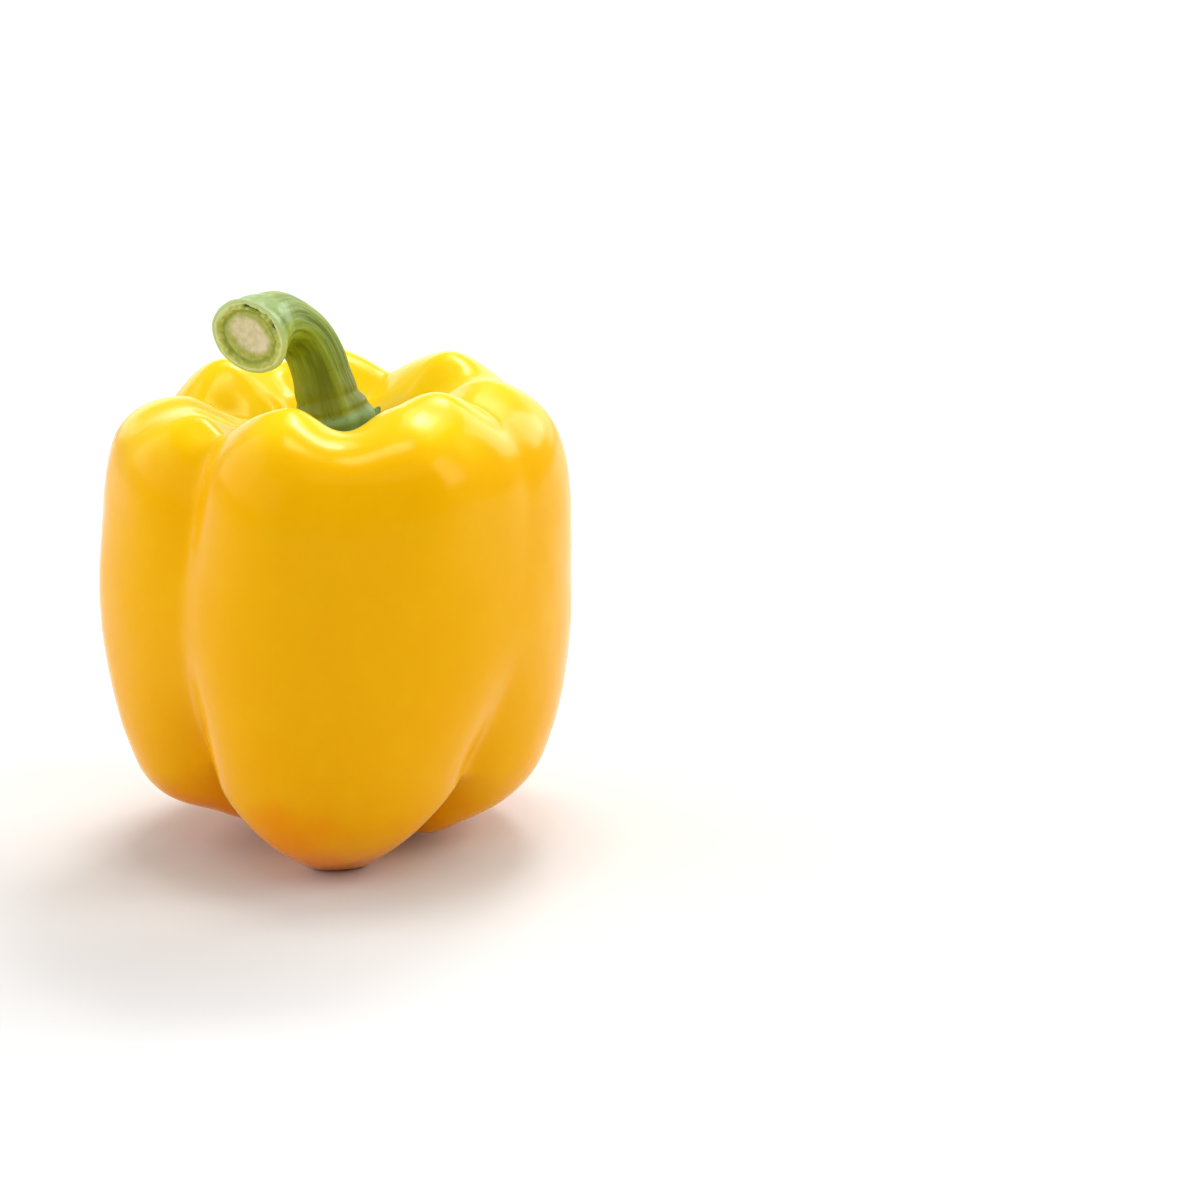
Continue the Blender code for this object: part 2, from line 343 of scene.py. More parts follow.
# The lamps look at the fruit's centre. Radiance is how bright a lamp's face is, whatever its size.
Lamp = namedtuple("Lamp", "name azimuth elevation distance width height radiance")
LAMPS = (
    Lamp("key", 163, 53, 3.0, 0.72, 0.38, 24.0),
    Lamp("key_halo", 163, 51, 3.1, 1.9, 1.2, 2.9),
    Lamp("top", 178, 85, 3.0, 1.0, 0.7, 10.5),
    Lamp("window", 87, 31, 3.0, 1.0, 1.9, 4.6),
    Lamp("side_window", 135, 28, 3.0, 1.3, 1.4, 4.0),
    Lamp("back_wall", 180, 14, 3.0, 5.0, 1.2, 1.25),
    Lamp("left_fill", -98, 30, 3.0, 3.0, 2.4, 1.5),
    Lamp("front_fill", -50, 22, 3.0, 2.6, 1.6, 1.2),
    Lamp("front_top", 28, 50, 3.0, 2.2, 1.4, 0.9),
)

# The camera: where the photograph's camera stood, and the fruit's middle in its picture of 1200 pixels.
LENS = 100.0
SENSOR = 36.0
PHOTO_SIDE = 1200
PIXELS_PER_METRE = 5390
CAMERA_ELEVATION = 15
FRUIT_PIXEL = (335, 600)
FRUIT_CENTRE_HEIGHT = 0.045


def smoothstep(x):
    x = np.clip(x, 0.0, 1.0)
    return x * x * (3 - 2 * x)


def smooth_join(x, places, values):
    """The values set at the places, joined by smooth steps."""
    places = np.asarray(places, float)
    values = np.asarray(values, float)
    i = np.clip(np.searchsorted(places, x, side="right") - 1, 0, len(places) - 2)
    part_way = (x - places[i]) / (places[i + 1] - places[i])
    return values[i] + (values[i + 1] - values[i]) * smoothstep(part_way)


def smooth_curve(points, per_span=40):
    """A Catmull-Rom curve through the points, as a dense array."""
    p = np.asarray(points, float)
    p = np.vstack([2 * p[0] - p[1], p, 2 * p[-1] - p[-2]])
    u = np.linspace(0, 1, per_span, endpoint=False)[:, None]
    spans = []
    for a, b, c, d in zip(p, p[1:], p[2:], p[3:]):
        square = (2 * a - 5 * b + 4 * c - d) * u**2
        cube = (3 * b - a - 3 * c + d) * u**3
        spans.append((2 * b + (c - a) * u + square + cube) / 2)
    return np.vstack(spans + [p[-2:-1]])


def length_shares(curve):
    """How far along the curve each of its points is, from 0 to 1."""
    steps = np.linalg.norm(np.diff(curve, axis=0), axis=1)
    return np.concatenate([[0.0], np.cumsum(steps)]) / steps.sum()


def on_azimuth(azimuth, radius, height):
    """Points at those azimuths, radii and heights."""
    turn = np.radians(azimuth)
    return np.stack([radius * np.sin(turn), -radius * np.cos(turn), height], axis=-1)


def noise_at(points, size, octaves=2):
    """Smooth noise between about -1 and 1 at each point of the array; size is that of its lumps."""
    flat = (np.asarray(points) / size).reshape(-1, 3)
    values = [noise.fractal(Vector(p), 1.0, 2.0, octaves) for p in flat.tolist()]
    return np.array(values).reshape(points.shape[:-1])


def round_and_along(turn, along, lumps_round, lumps_along):
    """Noise space for a stem: it closes round the stem and is drawn out along it."""
    reach = lumps_round / (2 * np.pi)
    shape = np.broadcast_shapes(turn.shape, along.shape)
    return np.stack(
        [
            np.broadcast_to(np.cos(turn) * reach, shape),
            np.broadcast_to(np.sin(turn) * reach, shape),
            np.broadcast_to(along * lumps_along, shape),
        ],
        axis=-1,
    )


def skinned_grid(name, points, **values):
    """A closed object over a grid of points whose first and last rows are each one point.

    The named values, one to a grid point, are kept as attributes for the material.
    """
    rows, columns = points.shape[:2]

    def one_to_a_vertex(grid):
        return np.concatenate([grid[:1, 0], grid[1:-1].reshape(-1, *grid.shape[2:]), grid[-1:, 0]])

    ring = 1 + np.arange((rows - 2) * columns).reshape(rows - 2, columns)
    after = np.roll(ring, -1, axis=1)
    quads = np.stack([ring[:-1], ring[1:], after[1:], after[:-1]], axis=-1).reshape(-1, 4)
    last = ring[-1, -1] + 1
    faces = quads.tolist()
    faces += [(0, a, b) for a, b in zip(ring[0].tolist(), after[0].tolist())]
    faces += [(int(last), b, a) for a, b in zip(ring[-1].tolist(), after[-1].tolist())]
    mesh = bpy.data.meshes.new(name)
    mesh.from_pydata(one_to_a_vertex(points).tolist(), [], faces)
    mesh.shade_smooth()
    for label, grid in values.items():
        grid = np.broadcast_to(grid, points.shape[:2])
        attribute = mesh.attributes.new(label, "FLOAT", "POINT")
        attribute.data.foreach_set("value", one_to_a_vertex(grid).astype(np.float32))
    obj = bpy.data.objects.new(name, mesh)
    bpy.context.scene.collection.objects.link(obj)
    return obj


def groove_cut(azimuth, share, groove):
    """1 along a groove's bottom, falling away on both sides almost to 0 at its reach."""
    middle = smooth_join(share, STATIONS, groove.azimuths)
    off = np.abs((azimuth - middle + 180) % 360 - 180) / groove.reach
    off = np.minimum(off, 1)
    if groove.soft:
        return np.cos(off * np.pi / 2) ** 2
    sharpness = smooth_join(share, STATIONS, CREASE_SHARPNESS)
    fall = smooth_join(share, STATIONS, CREASE_FALL)
    off = np.sqrt(off**2 + CREASE_ROUNDING**2) - CREASE_ROUNDING
    return (1 - off**sharpness) ** fall


def relief(azimuth, share):
    """How far the fruit's skin stands outside the plain barrel, in metres."""
    places = [hump.azimuth for hump in HUMPS]
    places = [places[-1] - 360, *places, places[0] + 360]
    turned = (azimuth - places[1]) % 360 + places[1]
    height = 0
    for k, hump in enumerate(HUMPS):
        near = np.zeros(len(places))
        near[k + 1] = 1
        near[0] = near[-2]
        near[-1] = near[1]
        near = smooth_join(turned, places, near)
        height = height + near * smooth_join(share, STATIONS, hump.heights)
    for groove in GROOVES:
        depth = smooth_join(share, STATIONS, groove.depths)
        height = height - depth * groove_cut(azimuth, share, groove)
    fade_in = smoothstep((share - FADE_START) / (STATIONS[0] - FADE_START))
    fade_out = smoothstep((FADE_END - share) / (FADE_END - STATIONS[-1]))
    return height * fade_in * fade_out


def fruit_section(azimuth, share):
    """Distance from the axis and height of the skin. The three lowest lobes are cut flat by the ground."""
    barrel = smooth_curve(MERIDIAN) * (BARREL_RADIUS, BARREL_HEIGHT)
    length = length_shares(barrel)
    out = relief(azimuth, share)
    lean = np.radians(smooth_join(share, LEAN_SHARES, LEAN_ANGLES))
    radius = np.interp(share, length, barrel[:, 0]) + out * np.cos(lean)
    height = np.interp(share, length, barrel[:, 1]) + out * np.sin(lean) - SINK
    return np.maximum(radius, 0.0), np.maximum(height, 0.0)


def crowded_azimuths(per_hump, share):
    """Azimuths of the fruit's mesh lines: one in every crease, and closer together near it."""
    creases = [smooth_join(share, STATIONS, groove.azimuths) for groove in GROOVES]
    ends = creases[1:] + [creases[0] + 360]
    step = np.arange(per_hump) / per_hump
    step = step - CREASE_CROWDING * np.sin(2 * np.pi * step) / (2 * np.pi)
    return np.hstack([a + (b - a) * step for a, b in zip(creases, ends)])


def fruit_grid(per_hump, rows):
    """Shares, azimuths and points of the skin, [row from seat to scar, column round the fruit]."""
    share = np.linspace(0, 1, rows)[:, None]
    azimuth = crowded_azimuths(per_hump, share)
    radius, height = fruit_section(azimuth, share)
    return share, azimuth, on_azimuth(azimuth, radius, height)


def fruit_middle():
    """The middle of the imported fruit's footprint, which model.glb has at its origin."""
    points = fruit_grid(SOLID_PER_HUMP, SOLID_ROWS)[2]
    middle = (points.min(axis=(0, 1)) + points.max(axis=(0, 1))) / 2
    return np.array([middle[0], middle[1], 0.0])


def fitted_in_box(points, low, high):
    """The points drawn in towards the box's middle by the little that they stand out of it."""
    middle = (low + high) / 2
    reach = np.abs(points - middle).max(axis=(0, 1))
    return middle + (points - middle) * np.minimum(1, (high - low) / 2 / reach)


def make_fruit(middle):
    """The skin from the seat's middle down to the scar, with its slow unevenness."""
    share, azimuth, points = fruit_grid(FRUIT_PER_HUMP, FRUIT_ROWS)
    crease = 0
    for groove in GROOVES:
        if not groove.soft:
            depth = smooth_join(share, STATIONS, groove.depths) / max(groove.depths)
            crease = crease + groove_cut(azimuth, share, groove) * depth
    # Painted shade in the creases, starting below the seat.
    stain = crease * smoothstep((share - CREASE_SHADE_START) / CREASE_SHADE_FADE)
    centre = np.array([0, 0, BARREL_HEIGHT / 2])
    outward = points - centre
    outward /= np.linalg.norm(outward, axis=-1)[..., None]
    uneven = WAVE_HEIGHT * noise_at(points, WAVE_SIZE) + RIPPLE_HEIGHT * noise_at(points, RIPPLE_SIZE, 1)
    pucker = np.exp(-(((share - PUCKER_SHARE) / PUCKER_WIDTH) ** 2))
    wander = noise_at(points, PUCKER_WANDER_SIZE, 1)
    uneven += PUCKER_HEIGHT * pucker * np.cos(np.radians(azimuth) * PUCKER_COUNT + PUCKER_WANDER * wander)
    uneven *= smoothstep(share / SEAT_CALM) * smoothstep((1 - share) / SCAR_CALM)
    uneven *= 1 - smoothstep(crease / CREASE_CALM)
    points = points + outward * uneven[..., None]
    low, high = (np.array(corner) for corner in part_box("fruit"))
    points = fitted_in_box(points - middle, low, high)
    points[..., 2] = np.maximum(points[..., 2], 0)
    return skinned_grid("fruit_skin", points, share=share, stain=np.clip(stain, 0, 1))


def seat_height(azimuth, radius):
    """Height of the fruit's skin round the stem's seat, one azimuth to a column of the radii."""
    share = np.linspace(0, STATIONS[0], SEAT_STEPS)
    height = np.empty_like(radius)
    for column, turn in enumerate(azimuth):
        reach, level = fruit_section(turn, share)
        height[:, column] = np.interp(radius[:, column], reach, level)
    return height


def make_calyx(middle):
    """The leaf from its middle out over the top, round the rim and back in underneath."""
    columns = CALYX_POINTS * CALYX_PER_POINT
    azimuth = np.arange(columns) * 360 / columns
    round_it = np.radians(azimuth)
    wave = 1 - np.abs(np.sin(round_it * CALYX_POINTS / 2))
    uneven = 1 + POINT_UNEVENNESS * np.sin(np.radians(azimuth * POINT_SWELLS + POINT_SWELL_TURN))
    ragged = RAGGED_HEIGHT * noise_at(round_and_along(round_it, np.zeros(1), RAGGED_COUNT, 0), 1.0)
    reach = CALYX_RADIUS + POINT_LENGTH * wave**POINT_SHARPNESS * uneven + ragged
    turn = np.linspace(0, np.pi, CALYX_ROWS)[:, None]
    outward = np.sin(turn) ** LEAF_FULLNESS
    radius = outward * reach
    folds = noise_at(round_and_along(round_it, outward, *FOLD_COUNTS), 1.0)
    edge = smoothstep((radius - DISH_RADIUS) / (CALYX_RADIUS - DISH_RADIUS))
    lift = POINT_CURL * wave * outward**CURL_SHARPNESS + FOLD_HEIGHT * (folds + FOLD_BIAS) * edge
    below = seat_height(azimuth, radius) + CALYX_GAP + np.maximum(lift, 0)
    collar = COLLAR_HEIGHT * np.exp(-(((radius - COLLAR_RADIUS) / COLLAR_WIDTH) ** 2))
    lumps = noise_at(round_and_along(round_it, outward, *LUMP_COUNTS), 1.0)
    above = below + CALYX_THICKNESS + collar + LUMP_HEIGHT * lumps * edge
    above += (DISH_LEVEL - above) * (1 - smoothstep((radius - DISH_RADIUS) / COLLAR_WIDTH))
    height = below + (above - below) * smoothstep(np.cos(turn) / RIM_ROUNDING)
    points = on_azimuth(np.broadcast_to(azimuth, radius.shape), radius, height) - middle
    # Where the leaf folds down it gets painted shade, where it stands up painted light.
    hollow = np.clip(0.5 - HOLLOW_BY_FOLDS * folds - HOLLOW_BY_LUMPS * lumps, 0, 1)
    return skinned_grid("calyx_leaf", points, edge=outward, hollow=hollow)


def stem_frames(at):
    """Centres, two crosswise directions and the direction ahead of the stem at shares of its length."""
    path = smooth_curve(STEM_PATH)
    share = length_shares(path)
    tangent = np.gradient(path, share, axis=0)
    tangent /= np.linalg.norm(tangent, axis=1)[:, None]
    tangent[0] = (0.0, 0.0, 1.0)
    side = np.array([1.0, 0.0, 0.0])
    sides = []
    for direction in tangent:
        side = side - direction * side.dot(direction)
        side = side / np.linalg.norm(side)
        sides.append(side)
    across = np.cross(tangent, sides)

    def read(values):
        return np.stack([np.interp(at, share, np.asarray(values)[:, k]) for k in range(3)], axis=-1)

    return read(path), read(sides), read(across), read(tangent)


def stem_length():
    return np.linalg.norm(np.diff(smooth_curve(STEM_PATH), axis=0), axis=1).sum()


def make_stem(middle):
    """The stem from the foot's middle up the shaft, round the lip and in over the cut face."""
    length = stem_length()
    foot_in = np.arange(FOOT_ROWS) / FOOT_ROWS
    shaft = np.linspace(0, 1 - LIP_ROUNDING / length, SHAFT_ROWS)
    bend = np.linspace(0, np.pi / 2, LIP_ROWS + 1)[1:]
    inward = np.linspace(1, 0, FACE_ROWS + 1)[1:]
    lip = 1 - LIP_ROUNDING * (1 - np.sin(bend)) / length
    at = np.concatenate([np.zeros(FOOT_ROWS), shaft, lip, np.ones(FACE_ROWS)])
    turn = np.arange(STEM_COLUMNS) * 2 * np.pi / STEM_COLUMNS
    centre, right, back, ahead = stem_frames(at)

    radius = smooth_join(at, *zip(*STEM_RADII))[:, None]
    foot = 1 - smoothstep(at / FOOT_END)[:, None]
    furrows = FURROW_MEAN - np.abs(np.sin((FOOT_LOBES * turn + FOOT_TURN) / 2)) ** FURROW_SHARPNESS
    ridges = noise_at(round_and_along(turn, at[:, None], *RIDGE_COUNTS), 1.0)
    streaks = noise_at(round_and_along(turn, at[:, None], *STREAK_COUNTS), 1.0)
    grown = (1 - foot) * (1 - FLARE_CALM * smoothstep((at - FLARE_START) / FLARE_LENGTH)[:, None])
    radius = radius + FOOT_LOBE_DEPTH * foot * furrows
    ridge_here = RIDGE_AT_FOOT + (1 - RIDGE_AT_FOOT) * grown
    radius = radius + RIDGE_HEIGHT * ridge_here * ridges + STREAK_HEIGHT * grown * streaks

    lip_start = FOOT_ROWS + SHAFT_ROWS
    face_start = lip_start + LIP_ROWS
    round_in = np.zeros(len(at))
    round_in[lip_start:face_start] = LIP_ROUNDING * (1 - np.cos(bend))
    round_in[face_start:] = LIP_ROUNDING
    foot_spread = np.ones((len(at), 1))
    foot_spread[:FOOT_ROWS, 0] = foot_in
    across_face = np.ones((len(at), 1))
    across_face[face_start:, 0] = inward
    radius = (radius - round_in[:, None]) * foot_spread * across_face

    on_face = np.arange(len(at))[:, None] >= face_start
    wander = noise_at(round_and_along(turn, across_face, *FACE_EDGE_COUNTS), 1.0)
    rings = -smoothstep((FACE_EDGE + FACE_EDGE_WANDER * wander - across_face) / FACE_SLOPE)
    rings = rings + RING_HEIGHT * np.exp(-(((across_face - RING_OUT) / RING_WIDTH) ** 2))
    grain = noise_at(round_and_along(turn, across_face, *GRAIN_COUNTS), 1.0)
    grain = GRAIN_HEIGHT * grain * smoothstep(across_face / GRAIN_START)
    push = np.where(on_face, FACE_DEPTH * rings + grain, 0.0)

    face_spread = np.where(on_face, across_face, 1 + (1 - at[:, None]) * length / CUT_RADIUS)
    jag = noise_at(round_and_along(turn, np.zeros(1), JAG_COUNT, 0), 1.0, 3)
    torn = TEAR_OUT + TEAR_JAG * jag
    near = np.abs((np.degrees(turn) - TEAR_TURN + 180) % 360 - 180) / TEAR_REACH
    pits = noise_at(round_and_along(turn, np.array([PIT_PLACE]), PIT_COUNT, 1), 1.0)
    pits = np.clip(pits + PIT_BIAS, 0, 1)
    tear_here = smoothstep((1 - near) / TEAR_FADE) * (TEAR_LEAST + PIT_DEPTH * pits)
    tear = tear_here * np.exp(-(((face_spread - torn) * CUT_RADIUS / TEAR_WIDTH) ** 2))
    push = push - TEAR_DEPTH * tear

    outwards = np.cos(turn)[:, None] * right[:, None] + np.sin(turn)[:, None] * back[:, None]
    points = centre[:, None] + radius[..., None] * outwards + push[..., None] * ahead[:, None] - middle
    low, high = (np.array(corner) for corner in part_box("stem"))
    points = fitted_in_box(points, low - FOOT_ROOM, high)
    return skinned_grid(
        "stem_stalk",
        points,
        along=at[:, None],
        face=on_face * 1.0,
        face_right=across_face * np.cos(turn),
        face_back=across_face * np.sin(turn),
        ridge=ridges * RIDGE_IN_COLOUR + streaks * STREAK_IN_COLOUR,
        tear=tear,
        dorsal=outwards[..., 2],
    )


class Shader:
    """A material's node tree, with short ways to add the nodes that the pepper's materials use."""

    def __init__(self, name):
        self.material = bpy.data.materials.new(name)
        self.material.use_nodes = True
        self.tree = self.material.node_tree
        self.surface = self.tree.nodes["Principled BSDF"]

    def node(self, kind, inputs=(), **settings):
        made = self.tree.nodes.new(kind)
        for key, value in settings.items():
            setattr(made, key, value)
        for key, value in dict(inputs).items():
            self.put(made.inputs[key], value)
        return made

    def put(self, socket, value):
        if isinstance(value, bpy.types.NodeSocket):
            self.tree.links.new(value, socket)
        else:
            socket.default_value = value

    def attribute(self, name):
        return self.node("ShaderNodeAttribute", attribute_name=name).outputs["Fac"]

    def place(self):
        return self.node("ShaderNodeTexCoord").outputs["Object"]

    def height(self):
        return self.node("ShaderNodeSeparateXYZ", {0: self.place()}).outputs["Z"]

    def vector(self, x, y, z):
        return self.node("ShaderNodeCombineXYZ", {"X": x, "Y": y, "Z": z}).outputs[0]

    def length(self, vector):
        return self.node("ShaderNodeVectorMath", {0: vector}, operation="LENGTH").outputs["Value"]

    def noise(self, size, detail=2.0):
        """Noise between 0 and 1 with lumps of that size in metres."""
        return self.node(
            "ShaderNodeTexNoise", {"Vector": self.place(), "Scale": 1 / size, "Detail": detail}
        ).outputs["Fac"]

    def cells(self, size):
        """Distance from the middle of the nearest of many scattered cells of that size in metres."""
        return self.node(
            "ShaderNodeTexVoronoi", {"Vector": self.place(), "Scale": 1 / size}
        ).outputs["Distance"]

    def math(self, operation, a, b=0.0):
        return self.node("ShaderNodeMath", {0: a, 1: b}, operation=operation).outputs[0]

    def between(self, value, low, high, out_low=0.0, out_high=1.0):
        """The value carried smoothly from one range to the other."""
        inputs = {"Value": value, "From Min": low, "From Max": high, "To Min": out_low, "To Max": out_high}
        return self.node("ShaderNodeMapRange", inputs, interpolation_type="SMOOTHSTEP").outputs[0]

    def band(self, value, start, full, still_full, end):
        """1 in the middle of a range of the value, falling smoothly to 0 on both sides."""
        rise = self.between(value, start, full)
        return self.math("MULTIPLY", rise, self.between(value, still_full, end, 1, 0))

    def mix(self, factor, a, b):
        made = self.node("ShaderNodeMix", data_type="RGBA", blend_type="MIX")
        self.put(made.inputs[0], factor)
        self.put(made.inputs[6], a if isinstance(a, bpy.types.NodeSocket) else (*a, 1))
        self.put(made.inputs[7], b if isinstance(b, bpy.types.NodeSocket) else (*b, 1))
        return made.outputs[2]

    def tint(self, under, colour, amount, *masks):
        """The colour laid over another, by that amount where all the masks are 1."""
        for mask in masks:
            amount = self.math("MULTIPLY", mask, amount)
        return self.mix(amount, under, colour)

    def ramp(self, factor, stops):
        made = self.node("ShaderNodeValToRGB", {"Fac": factor})
        elements = made.color_ramp.elements
        while len(elements) < len(stops):
            elements.new(0.5)
        for element, (position, colour) in zip(elements, stops):
            element.position = position
            element.color = (*colour, 1)
        return made.outputs[0]

    def bump(self, height, distance, strength=1.0, under=None):
        inputs = {"Height": height, "Distance": distance, "Strength": strength}
        if under is not None:
            inputs["Normal"] = under
        return self.node("ShaderNodeBump", inputs).outputs[0]

    def finish(self, **sockets):
        for key, value in sockets.items():
            self.put(self.surface.inputs[key.replace("_", " ").title().replace("Ior", "IOR")], value)
        return self.material


def skin_material():
    s = Shader("pepper_skin")
    cloud = s.between(s.noise(CLOUD_SIZE), 0, 1, -CLOUD_SHIFT, CLOUD_SHIFT)
    level = s.math("ADD", s.math("DIVIDE", s.height(), BARREL_HEIGHT), cloud)
    # Painted shade and light: the colour runs from orange low down to lemon yellow at the top.
    skin_and_shade = s.ramp(level, SKIN_COLOURS_WITH_PAINTED_SHADE)
    share = s.attribute("share")
    # Paler yellow on the seat's inner slopes: partly their own tone, partly painted light.
    skin_and_shade = s.tint(skin_and_shade, SEAT_YELLOW_AND_PAINTED_LIGHT, 0.60, s.between(share, 0.21, 0.33, 1, 0))
    # Painted shade: deeper orange in the creases.
    skin_and_shade = s.tint(skin_and_shade, CREASE_SHADE_ORANGE, 0.45, s.between(s.attribute("stain"), 0.20, 1.0))
    skin_and_shade = s.tint(skin_and_shade, MOTTLE_YELLOW, 0.15, s.between(s.noise(MOTTLE_SIZE), 0.45, 0.8))
    skin_and_shade = s.tint(skin_and_shade, SPECK_YELLOW, 0.18, s.between(s.cells(SPECK_SIZE), 0.0, 0.13, 1, 0))
    edge = s.between(s.noise(SCAR_EDGE_SIZE), 0, 1, -SCAR_EDGE_SHIFT, SCAR_EDGE_SHIFT)
    skin_and_shade = s.tint(skin_and_shade, SCAR_BROWN, 1.0, s.between(s.math("ADD", share, edge), 0.984, 0.992))
    peel = s.bump(s.noise(PEEL_SIZE), PEEL_DEPTH)
    pores = s.between(s.cells(PORE_SIZE), 0.0, 0.30)
    s.surface.subsurface_method = "RANDOM_WALK"
    return s.finish(
        base_color=skin_and_shade,
        roughness=s.between(s.noise(GLOSS_SIZE), 0.2, 0.8, 0.15, 0.22),
        normal=s.bump(pores, PORE_DEPTH, 0.6, peel),
        ior=1.34,
        specular_ior_level=0.30,
        specular_tint=(1.0, 0.86, 0.30, 1),
        subsurface_weight=0.15,
        subsurface_radius=(1.0, 0.45, 0.08),
        subsurface_scale=0.003,
    )


def calyx_material():
    s = Shader("pepper_calyx")
    edge = s.attribute("edge")
    # Painted shade in the leaf's hollows and painted light on its folds.
    green = s.mix(s.between(s.attribute("hollow"), 0.1, 0.9), LEAF_FOLD_LIT, LEAF_HOLLOW_SHADE)
    green = s.tint(green, LEAF_BLOOM, 0.40, s.between(s.noise(LEAF_BLOOM_SIZE, 4), 0.42, 0.70))
    green = s.tint(green, LEAF_SHADE, 0.45, s.between(s.noise(LEAF_SHADE_SIZE), 0.55, 0.75))
    green = s.tint(green, LEAF_RIM, 0.35, s.between(edge, 0.965, 1.0))
    # Painted shade in the low ring between the collar and the stem's foot.
    green = s.tint(green, LEAF_DITCH_SHADE, 0.70, s.band(edge, 0.60, 0.66, 0.66, 0.74))
    green = s.tint(green, LEAF_SCAB, 0.50, s.between(s.noise(LEAF_SCAB_SIZE, 3), 0.66, 0.74))
    return s.finish(
        base_color=green,
        roughness=0.55,
        specular_ior_level=0.25,
        normal=s.bump(s.noise(LEAF_GRAIN_SIZE, 3), LEAF_GRAIN_DEPTH),
        subsurface_weight=0.08,
        subsurface_radius=(0.3, 0.6, 0.1),
        subsurface_scale=0.001,
    )


def bark_colour(s, along):
    """The stem's side: olive and frosted at the foot; paler on top towards the cut as painted light, with
    frosted patches laid only there.
    """
    # The upper side towards the cut is made paler: painted light.
    top = s.between(s.attribute("dorsal"), 0.0, 0.8)
    pale = s.math("MULTIPLY", top, s.between(along, 0.66, 0.90))
    # Painted shade in the furrows and painted light on the ridges.
    bark = s.mix(s.between(s.attribute("ridge"), -0.5, 0.5), BARK_FURROW_SHADE, BARK_RIDGE_LIT)
    bark = s.tint(bark, BARK_TOP_LIT, 0.70, pale)
    bark = s.tint(bark, BARK_OLIVE, 0.45, s.between(along, 0.10, 0.50, 1, 0))
    foot = s.between(along, 0.055, 0.095, 1, 0)
    bark = s.tint(bark, BARK_BLOOM, 0.85, foot, s.between(s.noise(BARK_BLOOM_SIZE, 3), 0.20, 0.45))
    # Pale frosted patches on the lit upper side only: partly frost, partly painted light.
    bark = s.tint(bark, BARK_FROST_AND_LIGHT, 0.75, pale, s.between(s.noise(BARK_FROST_SIZE, 3), 0.46, 0.64))
    return s.tint(bark, BARK_FLECK, 0.30, s.between(s.noise(BARK_FLECK_SIZE), 0.62, 0.72))


def cut_colour(s, right, back):
    """The cut face: pale rim, flesh, a dark ring, a greener inside and the pith, a little off the middle."""
    ragged = s.between(s.noise(RAGGED_EDGE_SIZE, 3), 0, 1, -RAGGED_EDGE_SHIFT, RAGGED_EDGE_SHIFT)
    out = s.math("ADD", s.length(s.vector(right, back, 0.0)), s.math("MULTIPLY", ragged, 0.45))
    cut = s.mix(s.between(s.noise(CUT_SIZE, 3), 0.3, 0.7), CUT_DARK, CUT_LIGHT)
    cut = s.tint(cut, CUT_INSIDE, 0.45, s.between(out, 0.62, 0.76, 1, 0))
    cut = s.tint(cut, CUT_RING, 0.65, s.band(out, 0.67, 0.74, 0.76, 0.84))
    cut = s.tint(cut, CUT_RIM, 1.0, s.between(out, 0.88, 0.97))
    across = s.math("DIVIDE", s.math("SUBTRACT", right, PITH_MIDDLE), PITH_HALF_WIDTH)
    pith_out = s.length(s.vector(across, s.math("DIVIDE", back, PITH_HALF_HEIGHT), 0.0))
    pith = s.mix(s.between(s.noise(PITH_SIZE, 3), 0.3, 0.7), PITH_DARK, PITH_LIGHT)
    return s.tint(cut, pith, 1.0, s.between(s.math("ADD", pith_out, ragged), 0.72, 1.08, 1, 0))


def stem_material():
    s = Shader("pepper_stem")
    along = s.attribute("along")
    face = s.attribute("face")
    right = s.attribute("face_right")
    back = s.attribute("face_back")
    tear = s.attribute("tear")
    colour = s.mix(face, bark_colour(s, along), cut_colour(s, right, back))
    colour = s.tint(colour, LIP_PALE, 0.75, s.between(along, 0.975, 0.995), s.math("SUBTRACT", 1.0, face))
    # Painted shade in the torn pits by the lip.
    colour = s.tint(colour, TEAR_SHADE, 1.0, s.between(tear, 0.30, 0.80))
    fray = s.between(s.noise(FRAY_SIZE), 0.56, 0.64)
    colour = s.tint(colour, FRAY_PALE, 0.80, s.between(tear, 0.05, 0.30), fray)
    drawn = s.vector(*(s.math("MULTIPLY", *pair) for pair in zip((right, back, along), FIBRE_COUNTS)))
    fibres = s.node("ShaderNodeTexNoise", {"Vector": drawn, "Scale": 1.0, "Detail": 2.0}).outputs["Fac"]
    rough = s.bump(fibres, FIBRE_DEPTH)
    return s.finish(
        base_color=colour,
        roughness=s.mix(face, (BARK_ROUGHNESS,) * 3, (CUT_ROUGHNESS,) * 3),
        specular_ior_level=0.25,
        normal=s.bump(s.noise(BARK_GRAIN_SIZE), BARK_GRAIN_DEPTH, 0.6, rough),
        subsurface_weight=0.10,
        subsurface_radius=(0.4, 0.7, 0.15),
        subsurface_scale=0.0015,
    )


def make_floor():
    mesh = bpy.data.meshes.new("floor")
    side = FLOOR_HALF_SIDE
    corners = [(-side, -side, 0), (side, -side, 0), (side, side, 0), (-side, side, 0)]
    mesh.from_pydata(corners, [], [(0, 1, 2, 3)])
    floor = bpy.data.objects.new("floor", mesh)
    s = Shader("pale_floor")
    grey = (FLOOR_GREY, FLOOR_GREY, FLOOR_GREY, 1)
    mesh.materials.append(s.finish(base_color=grey, roughness=0.8, specular_ior_level=0.0))
    bpy.context.scene.collection.objects.link(floor)
    return floor


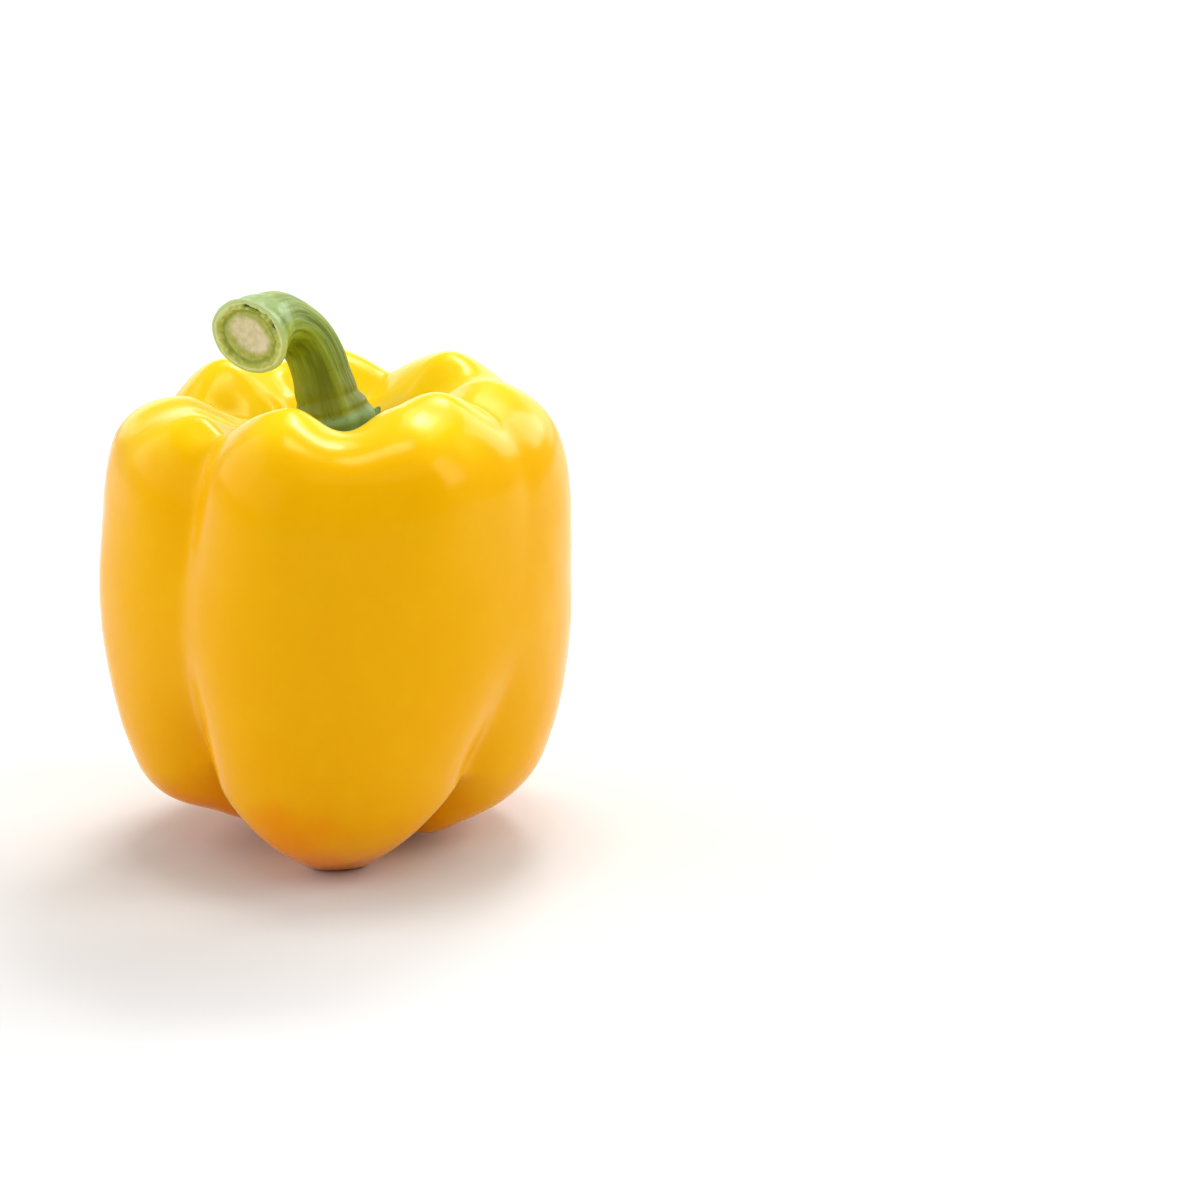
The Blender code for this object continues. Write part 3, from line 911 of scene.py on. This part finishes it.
def add_softbox(box):
    """A rectangular lamp that looks at the fruit's centre from its azimuth and elevation."""
    lamp = bpy.data.lights.new(box.name, "AREA")
    lamp.shape = "RECTANGLE"
    lamp.size = box.width
    lamp.size_y = box.height
    lamp.energy = box.radiance * math.pi * box.width * box.height
    obj = bpy.data.objects.new(box.name, lamp)
    turn = math.radians(box.azimuth)
    tip = math.radians(box.elevation)
    away = Vector((math.sin(turn) * math.cos(tip), -math.cos(turn) * math.cos(tip), math.sin(tip)))
    obj.location = Vector((0, 0, FRUIT_CENTRE_HEIGHT)) + away * box.distance
    obj.rotation_euler = away.to_track_quat("Z", "Y").to_euler()
    bpy.context.scene.collection.objects.link(obj)


def set_world(strength):
    world = bpy.data.worlds.new("studio")
    world.use_nodes = True
    background = world.node_tree.nodes["Background"]
    background.inputs["Color"].default_value = (1, 1, 1, 1)
    background.inputs["Strength"].default_value = strength
    bpy.context.scene.world = world


def set_camera(middle):
    """The photograph's camera: level horizon, looking down at the fruit's centre from the front."""
    focal_pixels = LENS / SENSOR * PHOTO_SIDE
    distance = focal_pixels / PIXELS_PER_METRE
    tip = math.radians(CAMERA_ELEVATION)
    ahead = Vector((0, math.cos(tip), -math.sin(tip)))
    right = Vector((1, 0, 0))
    up = right.cross(ahead)
    target = Vector((0, 0, FRUIT_CENTRE_HEIGHT)) - Vector(middle)
    off_right = (FRUIT_PIXEL[0] - PHOTO_SIDE / 2) / PIXELS_PER_METRE
    off_up = (PHOTO_SIDE / 2 - FRUIT_PIXEL[1]) / PIXELS_PER_METRE
    lens = bpy.data.cameras.new("camera")
    lens.lens = LENS
    lens.sensor_width = SENSOR
    camera = bpy.data.objects.new("camera", lens)
    camera.location = target - distance * ahead - off_right * right - off_up * up
    camera.rotation_euler = (math.pi / 2 - tip, 0, 0)
    bpy.context.scene.collection.objects.link(camera)
    bpy.context.scene.camera = camera


def dress(piece, material, node):
    piece.data.materials.append(material)
    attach(piece, "root")
    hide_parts(node)


middle = fruit_middle()
set_camera(middle)
dress(make_fruit(middle), skin_material(), "fruit")
dress(make_calyx(middle), calyx_material(), "calyx")
dress(make_stem(middle), stem_material(), "stem")
make_floor()
for softbox in LAMPS:
    add_softbox(softbox)
set_world(WORLD_STRENGTH)
bpy.context.scene.view_settings.view_transform = "Standard"
